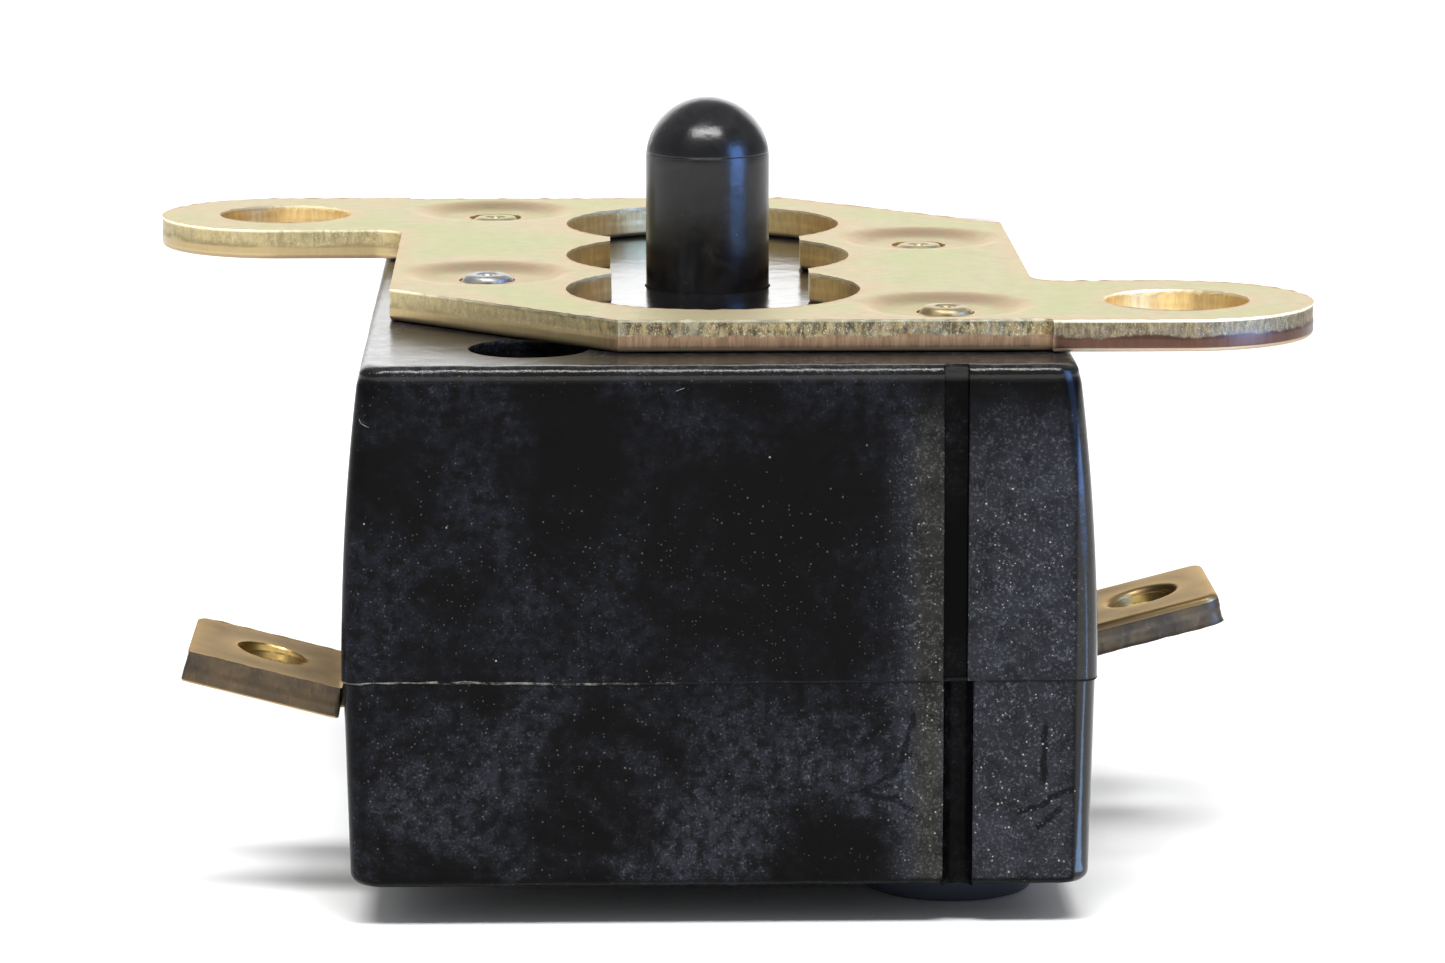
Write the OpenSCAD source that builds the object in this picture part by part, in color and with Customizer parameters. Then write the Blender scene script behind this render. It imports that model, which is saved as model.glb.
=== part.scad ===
// Plunger-operated contact block on a mounting plate with two diagonal ears.
// The origin is the plunger's axis at the plate's top face, with +Z out of the plate.
// The case is point-symmetric about the Z axis where the plate, dimples and screws are concerned.

/* [Mounting plate] */
// Thickness of the steel plate
plate_t = 1.55; // [1.3:0.05:1.7]
// Half width of the plate's main block
plate_hw = 16.05; // [15.9:0.05:16.4]
// Half depth of the plate's main block
plate_hd = 22.9; // [22:0.1:23.2]
// Distance from the plunger's axis to each ear hole, across
ear_x = 22.6; // [22:0.1:24]
// Distance from the plunger's axis to each ear hole, front to back
ear_y = 16.7; // [16:0.1:17.2]
// Radius of each ear's round end
ear_r = 6.7; // [6.2:0.1:7]
// Diameter of each ear hole
ear_hole_d = 7.14; // [5:0.01:8]
// Radius of each of the opening's three circles
opening_r = 7.3; // [6.8:0.1:7.4]
// Distance between the centres of neighbouring circles
opening_pitch = 12.3; // [12:0.1:12.6]
// Depth of the four screw dimples
dimple_h = 0.4; // [0.2:0.1:0.5]

/* [Case] */
// Half depth of the case, front to back
case_hd = 27.06; // [27:0.01:28]
// Half width of the case at its seam
case_hw = 18.08; // [17.7:0.02:18.4]
// Height of the upper half
upper_h = 15.2; // [15:0.1:15.6]
// Height of the lower half
lower_h = 10.1; // [9.9:0.1:11]
// Height of the screw bosses under the case
boss_h = 2.05; // [2:0.05:3]
// Radius of the screw bosses
boss_r = 4.2; // [4.1:0.1:4.4]

/* [Plunger] */
// Diameter of the plunger
plunger_d = 6.35; // [6:0.05:6.6]
// Height of the dome's top above the plate
plunger_top = 8.2; // [6:0.1:10]

/* [Terminals] */
// Thickness of the brass strip
strip_t = 1.5; // [1.3:0.1:1.6]
// Width of each tab, front to back
tab_w = 8.5; // [8:0.1:9]
// Length of each tab along its slope
tab_len = 7.6; // [7:0.1:8.5]
// Slope of the tabs above the horizontal
tab_angle = 14.5; // [10:0.5:18]
// Diameter of the tapped hole in each tab
tab_hole_d = 3.5; // [3:0.1:4]
// Place of the left tab's middle, front to back
left_tab_y = -20; // [-20.5:0.1:-19.5]
// Place of the right tab's middle, front to back
right_tab_y = -7.15; // [-7.5:0.05:-6.8]

/* [Contacts] */
// Distance of each contact tip from the middle plane
tip_x = 5.8; // [5.6:0.1:5.8]
// Place of the contacts, front to back
tip_y = -13.5; // [-13.7:0.1:-13.3]
// Height of each contact tip
tip_h = 0.8; // [0.6:0.1:1]
// Gap between open contacts
contact_gap = 2.4; // [2:0.1:2.4]

/* [Screws] */
// Diameter of the assembly screws
screw_d = 2.8; // [2.6:0.1:3]
// How far the ends of the two front screws stand above the dimples
front_screw_proud = 0.32; // [0.1:0.02:0.8]
// How far the ends of the two back screws stand above the dimples
back_screw_proud = 0.06; // [0:0.02:0.8]

/* [Hidden] */

$fn = 64;
cut = 1;            // overrun of a cutting shape past the face it opens
gap = 0.05;         // play beside moulded guides and pegs
hull_fn = 32;       // facets of the circles inside a hull
lap = 0.5;          // overlap of shapes that are joined into one

// Heights of the main faces
plate_gap = 0.05;   // air between the plate and the case, beside the dimples
case_top = -plate_t - plate_gap;
seam = case_top - upper_h;
case_bottom = seam - lower_h;
foot = case_bottom - boss_h;

// The plate: front-right ear and front-left chamfer, repeated by a half turn
chamfer_x = 4.8;            // where the chamfer leaves the front edge
chamfer_y = 12.1;           // where the chamfer meets the side edge
ear_fillet_r = 1.5;         // fillet between the ear and the side edge
ear_jog = 0.05;             // the ear's front corner lies this far inside the side edge
slot_hw = 5;                // half width of the slot that joins the three circles
dimple_r = 3.9;             // dimple radius at the plate's face
dimple_floor_r = 3.2;       // dimple radius at its floor
screw_xy = [[11.2, -17.9], [11.3, 6.3], [-11.2, 17.9], [-11.3, -6.3]];

// The case: bowed sides above the seam, straight draft below it, and rounded rims
edge_r = 1.1;               // radius of the upright edges
rim = 0.35;                 // radius of the top and bottom rims
top_inset = 1.0;            // how far each side leans in at the top
seam_step = 0.1;            // the lower half is this much slimmer on each side
draft_inset = 0.24;         // how far each lower side leans in at the bottom
end_share = 0.2;            // the front and back lean in by this share of the sides'
boss_shift = 0.3;           // the bosses stand this much outboard of the screws
groove_x = 11.22;           // middle of the upright groove on the front face
groove_w = 1.15;
groove_depth = 0.6;
lower_groove_r = 0.72;      // below the seam the groove is round
lower_groove_x = 11.37;
lower_groove_inset = 0.1;   // its axis lies this far inside the front face
recess_xy = [-9.1, -21.2];  // round recess in the top face
recess_r = 2.9;
recess_depth = 3.5;
wall_z = 2.4;               // thickness of the top wall
chamber_hw = 8;             // half width of the contact chambers
chamber_front = -22.4;      // front wall of the front contact chamber
hub_chamber_hw = 6.5;       // half width of the middle chamber
hub_chamber_hd = 8.6;       // half depth of the middle chamber
spring_pocket_r = 4.6;
pocket_floor = case_bottom + 2.3;
post_r = 2;                 // hollow post that centres the return spring
post_bore_r = 0.8;
post_h = 3;
peg_xy = [[-12.6, -13], [12.6, 13]];
peg_r = 1.5;
peg_h = 2;
screw_hole_r = screw_d / 2 + 0.2;
counterbore_r = 3.1;
counterbore_top = foot + 3.6;

// Contact train, from the terminals upwards
strip_top = seam - 0.85;            // top face of the brass strips inside the case
chamber_floor = strip_top - strip_t;
neck_w = 3.4;                       // width of the strips where they pass the wall
pad_hw = 1.9;                       // half width of the strips under the tips
bend_x = case_hw + 0.04;            // where the strips turn up into the tabs
pad_margin = 0.4;                   // the pads run past the tips by this much, front and back
tongue_gap = 0.3;                   // the tongues over the necks stop this far from each wall face
fixed_tip_r = 1.8;
moving_tip_r = 1.7;
moving_tip_bottom = strip_top + tip_h + contact_gap;
bridge_t = 1;
bridge_w = 4.8;
bridge_bottom = moving_tip_bottom + tip_h;
bridge_top = bridge_bottom + bridge_t;
bridge_end = 2;                     // the bridge runs past each tip's middle by this much
bridge_hole_r = 0.8;

// The carrier: a hub under the plunger, with one windowed arm to the front and one to the back
carrier_top = case_top - wall_z - 0.1;
arm_hw = 2.4;
window_hd = 2.7;                    // half depth of each window
post_t = 1.5;                       // thickness of the posts beside each window
window_top = carrier_top - 1.7;
sill_t = 1.7;                       // thickness of the bar under each window
hub_r = 4.3;
hub_bottom = carrier_top - 8;
plunger_flange_r = 4.2;
plunger_flange_t = 1.6;
socket_r = 2.0;                     // spigot that joins the plunger to the hub
socket_depth = 3;

// Springs
return_wire_r = 0.4;
return_coil_r = 3.0;
return_turns = 6;
contact_wire_r = 0.3;
contact_coil_r = 1.7;
contact_turns = 5;
cup_t = 0.5;                        // sheet thickness of cups and washers
return_cup_r = hub_r - 0.2;
return_cup_h = 1.6;
contact_cup_r = contact_coil_r + contact_wire_r + 0.2;
contact_cup_h = 1.2;                // spigot inside the contact spring
contact_cup_pin_r = bridge_hole_r - 0.1;
return_washer_bore_r = post_r + 0.1;
spring_fn = 10;                     // sides of a spring's wire
steps_per_turn = 16;

// Screw hardware under the case
flat_washer_t = 0.6;
lock_washer_t = 0.7;
washer_r = 3.0;
lock_washer_r = 2.6;
split_w = 0.4;                      // the gap in each lock washer
split_turn = 35;
head_r = 2.75;
head_h = 1.7;
head_seat = counterbore_top - flat_washer_t - lock_washer_t;
slot_w = 0.7;
slot_depth = 0.8;
screw_chamfer = 0.25;
head_taper = 0.86;                  // the heads' lower radius over their upper one

// ---------------------------------------------------------------- helpers

// Repeats its children at the half turn about Z
module twice() {
    children();
    rotate([0, 0, 180]) children();
}

// Repeats its children on each screw axis
module on_screws() {
    for (p = screw_xy) translate([p[0], p[1], 0]) children();
}

// A box given by its lowest and highest corners
module box(low, high) {
    translate(low) cube(high - low);
}

// A solid joined from thin slabs; each level is [z, inset of the sides, inset of the front and back]
module drafted_shell(levels) {
    thin = 0.01;
    hull()
        for (l = levels)
            translate([0, 0, l[0]])
                linear_extrude(thin)
                    for (x = [-1, 1], y = [-1, 1])
                        translate([x * (case_hw - l[1] - edge_r), y * (case_hd - l[2] - edge_r)])
                            circle(edge_r, $fn = hull_fn);
}

// Inset of the upper half's sides at a height above the seam
function bow(h) = top_inset * pow(h / upper_h, 2);

// The levels of a rounded rim; way is 1 for a top rim and -1 for a bottom one
function rim_levels(z, inset, way) =
    [for (a = [0:22.5:90])
        let (turn = rim * (1 - cos(a)))
        [z - way * rim * (1 - sin(a)) - (way > 0 ? 0.01 : 0), inset + turn, end_share * inset + turn]];

// A round-wire coil on the Z axis, swept as one closed polyhedron
module coil(coil_r, wire_r, z0, z1, turns) {
    n = turns * steps_per_turn;
    rise = z1 - z0 - 2 * wire_r;
    points = [for (i = [0:n], j = [0:spring_fn - 1])
        let (turn = 360 * turns * i / n, side = 360 * j / spring_fn, r = coil_r + wire_r * cos(side))
        [r * cos(turn), r * sin(turn), z0 + wire_r + rise * i / n + wire_r * sin(side)]];
    sides = [for (i = [0:n - 1], j = [0:spring_fn - 1])
        let (k = (j + 1) % spring_fn)
        [i * spring_fn + j, i * spring_fn + k, (i + 1) * spring_fn + k, (i + 1) * spring_fn + j]];
    first = [for (j = [spring_fn - 1:-1:0]) j];
    last = [for (j = [0:spring_fn - 1]) n * spring_fn + j];
    polyhedron(points, concat([first], sides, [last]));
}

// A flat ring
module ring(r_out, r_in, z, h) {
    translate([0, 0, z])
        difference() {
            cylinder(r = r_out, h = h);
            translate([0, 0, -cut]) cylinder(r = r_in, h = h + 2 * cut);
        }
}

// ---------------------------------------------------------------- plate

// Outline of the main block: a rectangle with two opposite corners cut off
module plate_block() {
    corner = [[-plate_hw, -chamfer_y], [-chamfer_x, -plate_hd], [plate_hw, -plate_hd]];
    polygon(concat(corner, -corner));
}

// One ear with its fillet against the side edge
module plate_ear() {
    inner = plate_hw - ear_jog;
    translate([ear_x, -ear_y]) circle(ear_r);
    translate([inner, -ear_y - ear_r]) square([ear_x - inner, 2 * ear_r]);
    back = ear_r - ear_y;
    difference() {
        translate([plate_hw - lap, back - lap]) square(ear_fillet_r + lap);
        translate([plate_hw + ear_fillet_r, back + ear_fillet_r]) circle(ear_fillet_r);
    }
}

// Three overlapping circles joined by a slot
module plate_opening() {
    for (y = [-1:1]) translate([0, y * opening_pitch]) circle(opening_r);
    square([2 * slot_hw, 2 * opening_pitch], center = true);
}

module mounting_plate() {
    color([0.80, 0.75, 0.55])
    difference() {
        union() {
            translate([0, 0, -plate_t])
                linear_extrude(plate_t)
                    difference() {
                        union() {
                            plate_block();
                            twice() plate_ear();
                        }
                        plate_opening();
                        twice() translate([ear_x, -ear_y]) circle(d = ear_hole_d);
                    }
            on_screws()
                translate([0, 0, -plate_t - dimple_h])
                    cylinder(r1 = dimple_floor_r, r2 = dimple_r, h = dimple_h);
        }
        on_screws() {
            translate([0, 0, -dimple_h]) cylinder(r1 = dimple_floor_r, r2 = dimple_r, h = dimple_h);
            translate([0, 0, -plate_t - cut]) cylinder(d = screw_d + 0.04, h = plate_t + 2 * cut);
        }
    }
}

// ---------------------------------------------------------------- case

// The chambers that run through both halves, between two heights
module chambers(low, high) {
    for (s = [-1, 1])
        box([-chamber_hw, s > 0 ? hub_chamber_hd - cut : chamber_front, low],
            [chamber_hw, s > 0 ? -chamber_front : cut - hub_chamber_hd, high]);
    box([-hub_chamber_hw, -hub_chamber_hd, low], [hub_chamber_hw, hub_chamber_hd, high]);
}

// The wall slot that a terminal's neck passes; side is -1 on the left and 1 on the right
module neck_slot(side, y, w, low, high) {
    x0 = hub_chamber_hw - lap;
    translate([side > 0 ? x0 : -case_hw - cut, y - w / 2, low])
        cube([case_hw + cut - x0, w, high - low]);
}

// Small moulded tongue that holds a terminal's neck down
module neck_tongue(side, y) {
    x0 = chamber_hw + tongue_gap;
    x1 = case_hw - tongue_gap;
    translate([side > 0 ? x0 : -x1, y - neck_w / 2, strip_top])
        cube([x1 - x0, neck_w, seam + lap - strip_top]);
}

module upper_housing() {
    color([0.05, 0.05, 0.07]) {
        difference() {
            drafted_shell(concat(
                [for (i = [0:6]) let (h = (upper_h - rim) * i / 7) [seam + h, bow(h), end_share * bow(h)]],
                rim_levels(case_top, top_inset, 1)));
            chambers(seam - cut, case_top - wall_z);
            translate([0, 0, case_top - wall_z - cut])
                cylinder(r = plunger_d / 2 + 0.08, h = wall_z + 2 * cut);
            on_screws() {
                translate([0, 0, seam - cut]) cylinder(r = screw_hole_r, h = upper_h + 2 * cut);
                translate([0, 0, -plate_t - dimple_h]) cylinder(r = dimple_r + 0.2, h = dimple_h + cut);
            }
            translate([recess_xy[0], recess_xy[1], case_top - recess_depth])
                cylinder(r = recess_r, h = recess_depth + cut);
            for (p = peg_xy) translate([p[0], p[1], seam - cut])
                cylinder(r = peg_r + gap, h = peg_h + 0.2 + cut);
            translate([groove_x - groove_w / 2, -case_hd - cut, seam - cut])
                cube([groove_w, cut + groove_depth, upper_h + 2 * cut]);
        }
        neck_tongue(-1, left_tab_y);
        neck_tongue(1, right_tab_y);
    }
}

module lower_housing() {
    color([0.05, 0.05, 0.07]) {
        difference() {
            union() {
                drafted_shell(concat(
                    rim_levels(case_bottom, seam_step + draft_inset, -1),
                    [[seam - 0.01, seam_step, end_share * seam_step]]));
                for (p = screw_xy)
                    translate([p[0] + sign(p[0]) * boss_shift, p[1], foot])
                        cylinder(r = boss_r, h = boss_h + cut);
            }
            chambers(chamber_floor, seam + cut);
            translate([0, 0, pocket_floor]) cylinder(r = spring_pocket_r, h = lower_h);
            on_screws() {
                translate([0, 0, foot - cut]) cylinder(r = screw_hole_r, h = lower_h + boss_h + 2 * cut);
                translate([0, 0, foot - cut]) cylinder(r = counterbore_r, h = counterbore_top - foot + cut);
            }
            neck_slot(-1, left_tab_y, neck_w + 2 * gap, chamber_floor, seam + cut);
            neck_slot(1, right_tab_y, neck_w + 2 * gap, chamber_floor, seam + cut);
            translate([lower_groove_x, lower_groove_inset - case_hd, foot])
                cylinder(r = lower_groove_r, h = lower_h + boss_h + cut);
        }
        for (p = peg_xy) translate([p[0], p[1], seam - cut]) cylinder(r = peg_r, h = peg_h + cut);
        ring(post_r, post_bore_r, pocket_floor - 0.01, post_h);
    }
}

// ---------------------------------------------------------------- plunger and carrier

module plunger() {
    r = plunger_d / 2;
    dome_z = plunger_top - r;
    flange_z = carrier_top - plunger_flange_t;
    color([0.03, 0.03, 0.05]) {
        translate([0, 0, flange_z]) cylinder(r = r, h = dome_z - flange_z);
        translate([0, 0, dome_z]) sphere(r = r);
        translate([0, 0, flange_z]) cylinder(r = plunger_flange_r, h = plunger_flange_t);
        translate([0, 0, flange_z - socket_depth]) cylinder(r = socket_r, h = socket_depth + 0.5);
    }
}

// One arm of the carrier, to the front; the bridge rests on the sill of its window
module carrier_arm() {
    sill_top = bridge_bottom;
    box([-arm_hw, tip_y - window_hd - post_t, sill_top - sill_t],
        [arm_hw, tip_y - window_hd, carrier_top]);
    box([-arm_hw, tip_y + window_hd, sill_top - sill_t],
        [arm_hw, tip_y + window_hd + post_t, carrier_top]);
    box([-arm_hw, tip_y - window_hd - post_t, sill_top - sill_t],
        [arm_hw, tip_y + window_hd + post_t, sill_top]);
    box([-arm_hw, tip_y - window_hd - post_t, window_top],
        [arm_hw, tip_y + window_hd + post_t, carrier_top]);
    box([-arm_hw, tip_y + window_hd + post_t - 0.5, hub_bottom + 2],
        [arm_hw, -1, carrier_top - plunger_flange_t]);
}

module contact_carrier() {
    hub_top = carrier_top - plunger_flange_t;
    color([0.62, 0.56, 0.45])
    difference() {
        union() {
            translate([0, 0, hub_bottom]) cylinder(r = hub_r, h = hub_top - hub_bottom);
            twice() carrier_arm();
        }
        translate([0, 0, hub_top - socket_depth - 0.1]) cylinder(r = socket_r + 0.02, h = socket_depth + cut);
        translate([0, 0, hub_top]) cylinder(r = plunger_flange_r + 0.1, h = plunger_flange_t + cut);
    }
}

// ---------------------------------------------------------------- return spring and its seats

module return_spring_cup() {
    color([0.70, 0.70, 0.72])
    difference() {
        translate([0, 0, hub_bottom - return_cup_h]) cylinder(r = return_cup_r, h = return_cup_h);
        translate([0, 0, hub_bottom - return_cup_h - cut])
            cylinder(r = return_cup_r - cup_t, h = return_cup_h - cup_t + cut);
    }
}

module return_spring() {
    color([0.72, 0.72, 0.74])
        coil(return_coil_r, return_wire_r, pocket_floor + cup_t, hub_bottom - cup_t, return_turns);
}

module return_spring_washer() {
    color([0.70, 0.70, 0.72]) ring(spring_pocket_r - 0.2, return_washer_bore_r, pocket_floor, cup_t);
}

// ---------------------------------------------------------------- contact bridge

module contact_bridge() {
    half_len = tip_x + bridge_end;
    crown = 0.2;
    color([0.72, 0.45, 0.25])
    difference() {
        intersection() {
            box([-half_len, tip_y - bridge_w / 2, bridge_bottom], [half_len, tip_y + bridge_w / 2, bridge_top]);
            translate([0, tip_y, bridge_bottom - cut]) cylinder(r = half_len + crown, h = bridge_t + 2 * cut);
        }
        translate([0, tip_y, bridge_bottom - cut]) cylinder(r = bridge_hole_r, h = bridge_t + 2 * cut);
    }
}

// A contact rivet's head, a low frustum with a flat crown
module tip(side, r, z, upwards) {
    color([0.85, 0.85, 0.83])
        translate([side * tip_x, tip_y, z])
            cylinder(r1 = upwards ? r : r * 0.8, r2 = upwards ? r * 0.8 : r, h = tip_h);
}

module left_bridge_tip() { tip(-1, moving_tip_r, moving_tip_bottom, false); }
module right_bridge_tip() { tip(1, moving_tip_r, moving_tip_bottom, false); }
module left_fixed_tip() { tip(-1, fixed_tip_r, strip_top, true); }
module right_fixed_tip() { tip(1, fixed_tip_r, strip_top, true); }

module contact_spring_cup() {
    color([0.70, 0.70, 0.72])
    translate([0, tip_y, 0]) {
        translate([0, 0, bridge_top]) cylinder(r = contact_cup_r, h = cup_t);
        translate([0, 0, bridge_top + cup_t])
            cylinder(r = contact_coil_r - contact_wire_r - 0.2, h = contact_cup_h);
        translate([0, 0, bridge_bottom + 0.1]) cylinder(r = contact_cup_pin_r, h = bridge_t);
    }
}

module contact_spring() {
    color([0.72, 0.72, 0.74])
        translate([0, tip_y, 0])
            coil(contact_coil_r, contact_wire_r, bridge_top + cup_t, window_top, contact_turns);
}

// ---------------------------------------------------------------- terminals

// The strip inside the case: a neck through the wall, a run to the chamber and a pad under the tip
module strip_inside(side, y) {
    x_in = tip_x - pad_hw;
    run = bend_x - x_in;
    translate([side > 0 ? x_in : -bend_x, y - neck_w / 2, chamber_floor]) cube([run, neck_w, strip_t]);
    low_y = min(y - neck_w / 2, tip_y - pad_hw - pad_margin);
    high_y = max(y + neck_w / 2, tip_y + pad_hw + pad_margin);
    translate([side > 0 ? x_in : -x_in - 2 * pad_hw, low_y, chamber_floor])
        cube([2 * pad_hw, high_y - low_y, strip_t]);
}

// The upturned tab outside, drawn to the right of its bend line and turned up about it
module tab(side, y) {
    mirror([side > 0 ? 0 : 1, 0, 0])
        translate([bend_x, y, strip_top])
            rotate([0, -tab_angle, 0])
                translate([0, -tab_w / 2, -strip_t])
                    difference() {
                        cube([tab_len, tab_w, strip_t]);
                        translate([tab_len / 2, tab_w / 2, -cut])
                            cylinder(d = tab_hole_d, h = strip_t + 2 * cut);
                    }
}

// A small wedge that fills the outside of the bend
module bend_web(side, y) {
    turn = sin(tab_angle) * strip_t;
    mirror([side > 0 ? 0 : 1, 0, 0])
        translate([bend_x, y + neck_w / 2, 0])
            rotate([90, 0, 0])
                linear_extrude(neck_w)
                    polygon([[0, strip_top], [0, chamber_floor],
                             [turn, strip_top - strip_t * cos(tab_angle)]]);
}

module terminal(side, y) {
    color([0.66, 0.54, 0.34]) {
        strip_inside(side, y);
        tab(side, y);
        bend_web(side, y);
    }
}

module left_terminal() { terminal(-1, left_tab_y); }
module right_terminal() { terminal(1, right_tab_y); }

// ---------------------------------------------------------------- fasteners

// One screw from its slotted head up to its chamfered end
module assembly_screw(top) {
    difference() {
        union() {
            translate([0, 0, head_seat - head_h]) cylinder(r1 = head_r * head_taper, r2 = head_r, h = head_h);
            translate([0, 0, head_seat - lap]) cylinder(d = screw_d, h = top - screw_chamfer - head_seat + lap);
            translate([0, 0, top - screw_chamfer])
                cylinder(d1 = screw_d, d2 = screw_d - 2 * screw_chamfer, h = screw_chamfer);
        }
        translate([-head_r - cut, -slot_w / 2, head_seat - head_h - cut])
            cube([2 * (head_r + cut), slot_w, slot_depth + cut]);
    }
}

module assembly_screws() {
    color([0.75, 0.68, 0.45])
    for (i = [0:3])
        translate([screw_xy[i][0], screw_xy[i][1], 0])
            assembly_screw((i % 3 == 0 ? front_screw_proud : back_screw_proud) - dimple_h);
}

module flat_washers() {
    color([0.74, 0.74, 0.75])
        on_screws() ring(washer_r, screw_hole_r, counterbore_top - flat_washer_t, flat_washer_t);
}

module lock_washers() {
    color([0.60, 0.60, 0.62])
    on_screws()
        difference() {
            ring(lock_washer_r, screw_hole_r, head_seat, lock_washer_t);
            rotate([0, 0, split_turn]) translate([0, -split_w / 2, head_seat - cut])
                cube([lock_washer_r + cut, split_w, lock_washer_t + 2 * cut]);
        }
}

mounting_plate();
upper_housing();
lower_housing();
plunger();
contact_carrier();
return_spring();
return_spring_cup();
return_spring_washer();
contact_bridge();
left_bridge_tip();
right_bridge_tip();
contact_spring();
contact_spring_cup();
left_terminal();
right_terminal();
left_fixed_tip();
right_fixed_tip();
assembly_screws();
lock_washers();
flat_washers();
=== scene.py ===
"""Looks for the plunger-operated contact block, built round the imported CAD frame.

Lengths are written in millimetres and scaled to metres as each mesh is made.
"""
import math

import bmesh
import bpy
import numpy as np
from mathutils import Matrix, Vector, kdtree, noise
from mathutils.geometry import delaunay_2d_cdt

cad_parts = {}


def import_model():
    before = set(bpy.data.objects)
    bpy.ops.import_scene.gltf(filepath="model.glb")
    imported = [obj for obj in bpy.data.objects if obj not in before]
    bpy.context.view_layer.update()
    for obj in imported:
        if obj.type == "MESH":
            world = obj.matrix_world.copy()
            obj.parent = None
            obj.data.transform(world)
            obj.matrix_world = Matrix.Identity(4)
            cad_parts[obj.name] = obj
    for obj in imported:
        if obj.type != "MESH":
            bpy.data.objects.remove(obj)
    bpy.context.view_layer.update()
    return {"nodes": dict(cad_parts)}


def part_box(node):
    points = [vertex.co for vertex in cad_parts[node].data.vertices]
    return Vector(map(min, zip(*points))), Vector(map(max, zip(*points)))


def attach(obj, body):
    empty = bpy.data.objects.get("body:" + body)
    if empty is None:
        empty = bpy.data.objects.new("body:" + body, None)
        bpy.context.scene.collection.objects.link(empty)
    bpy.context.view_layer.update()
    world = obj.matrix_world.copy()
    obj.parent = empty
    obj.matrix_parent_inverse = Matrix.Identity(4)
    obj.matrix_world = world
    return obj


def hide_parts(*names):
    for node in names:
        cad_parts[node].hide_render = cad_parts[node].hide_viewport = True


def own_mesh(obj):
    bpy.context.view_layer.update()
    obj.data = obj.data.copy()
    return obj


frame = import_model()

MM = 0.001
SCENE = bpy.context.scene


def cad(node):
    """Lowest and highest corner of a CAD node, in millimetres."""
    low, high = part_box(node)
    return low / MM, high / MM


# The case: its heights, half sizes, the radii of its upright edges and rims, and the grooves in its front
UPPER, LOWER, PLUNGER = cad("upper_housing"), cad("lower_housing"), cad("plunger")
CASE_TOP, SEAM, FOOT = UPPER[1].z, -16.8, LOWER[0].z
CASE_BOTTOM = FOOT + 2.05
CASE_HW, CASE_HD = UPPER[1].x, UPPER[1].y
EDGE_R = 1.1
TOP_RIM, LOW_RIM = 0.48, 0.65
UPPER_GROOVE_X, LOWER_GROOVE_X = 11.22, 11.37

# The plate, whose top is at height 0: its body, right ear, opening of three lobes, and dimples at the screws
PLATE_T, PLATE_HW, PLATE_HD = 1.55, 16.05, 22.9
CHAMFER_X = 4.8
EAR, EAR_R, EAR_HOLE_R = (22.6, -16.7), 6.7, 3.57
LOBE_R, LOBE_PITCH = 7.3, 12.3
DIMPLE_H, DIMPLE_R = 0.4, 2.9
SCREWS = [(11.2, -17.9), (11.3, 6.3), (-11.2, 17.9), (-11.3, -6.3)]
SCREW_R = 1.4

# The brass strips and the contact bridge
STRIP_T = 1.5
STRIP_TOP = SEAM - 0.85
BRIDGE_Y = -13.5


# -------- materials

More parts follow.
